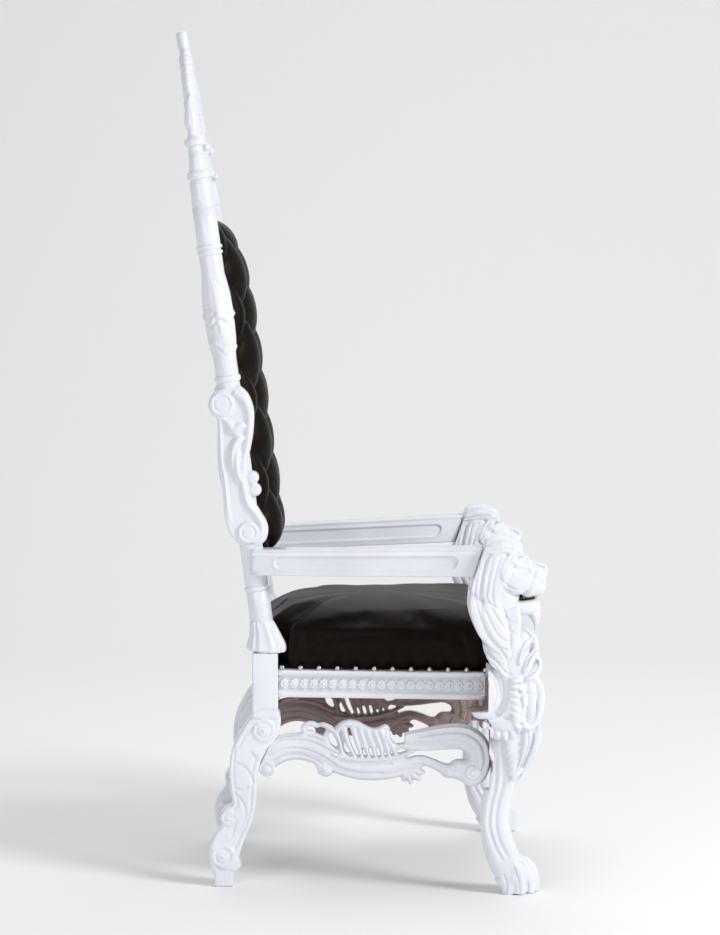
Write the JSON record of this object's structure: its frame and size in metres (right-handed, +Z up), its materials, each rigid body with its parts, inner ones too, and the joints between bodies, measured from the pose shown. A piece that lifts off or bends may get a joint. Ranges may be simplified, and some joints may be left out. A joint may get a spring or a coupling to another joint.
{
  "type": "throne",
  "caption": "High-back throne of carved white-lacquered wood with lion-head arms, scrolled legs, pierced stretchers, tufted black back and crowned seat.",
  "frame": {"origin": "on the floor, under the middle of the throne's width and depth", "axes": "+Z up, the front faces -Y, the sitter's left is +X"},
  "size_m": [0.8128, 0.7844, 1.8315],
  "materials": {
    "white_lacquer": "carved wood under gloss white lacquer",
    "back_leather": "black coated leather, button tufted",
    "seat_leather": "black coated leather, fine grain, soft sheen",
    "nail_metal": "polished nickel nail heads",
    "gilding": "gold paint in the lions' mouths",
    "dust_cloth": "black cambric under the seat"
  },
  "bodies": {
    "root": {"lion_leg_left": "white_lacquer", "lion_leg_right": "white_lacquer", "arm_left": "white_lacquer", "arm_right": "white_lacquer", "rear_leg_left": "white_lacquer", "rear_leg_right": "white_lacquer", "back_post_left": "white_lacquer", "back_post_right": "white_lacquer", "side_stretcher_left": "white_lacquer", "side_stretcher_right": "white_lacquer", "side_rail_left": "white_lacquer", "side_rail_right": "white_lacquer", "front_rail": "white_lacquer", "rear_rail": "white_lacquer", "back_crest": "white_lacquer", "back_lower_rail": "white_lacquer", "back_cushion": "back_leather", "seat_cushion": "seat_leather"}
  },
  "joints": []
}
